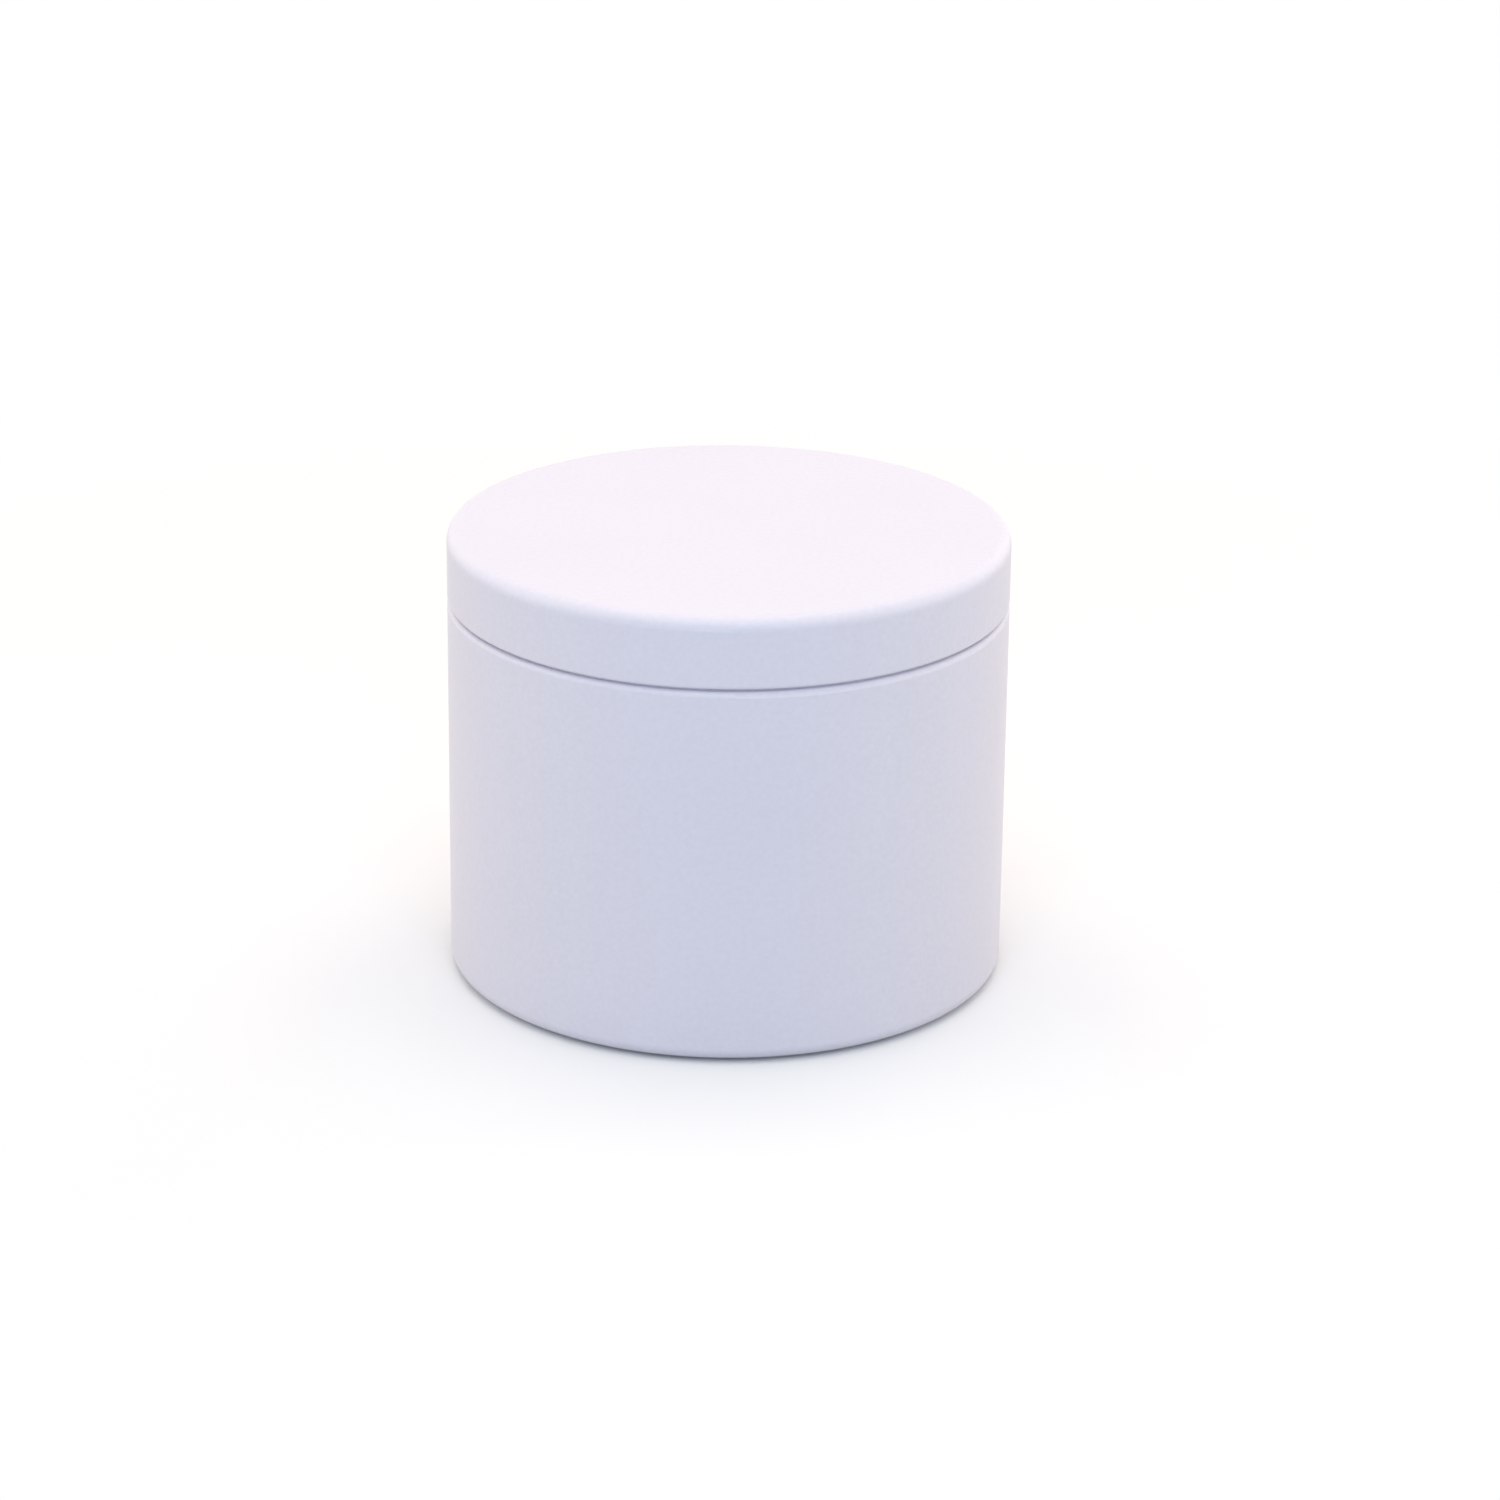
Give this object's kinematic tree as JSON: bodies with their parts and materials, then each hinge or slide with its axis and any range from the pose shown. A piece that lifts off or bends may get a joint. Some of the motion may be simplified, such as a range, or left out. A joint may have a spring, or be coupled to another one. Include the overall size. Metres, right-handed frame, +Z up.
{
  "type": "candle tin",
  "caption": "Round seamless metal candle tin with a flush slip-on lid, rolled mouth and hem, rounded foot and plain white enamel outside.",
  "frame": {"origin": "middle of the foot ring, on the ground the tin stands on", "axes": "+Z up along the tin's axis of symmetry, towards the lid; the tin is round, so +X and +Y are any two horizontal directions"},
  "size_m": [0.077, 0.077, 0.063],
  "materials": {
    "white_enamel": "satin white baked enamel on tinplate"
  },
  "bodies": {
    "tin": {"tin_body": "white_enamel"},
    "lid": {"lid": "white_enamel"}
  },
  "joints": [
    {"name": "lid_lift", "type": "slide", "parent": "tin", "child": "lid", "axis": [0, 0, 1], "range_m": [0, 0.05]}
  ]
}
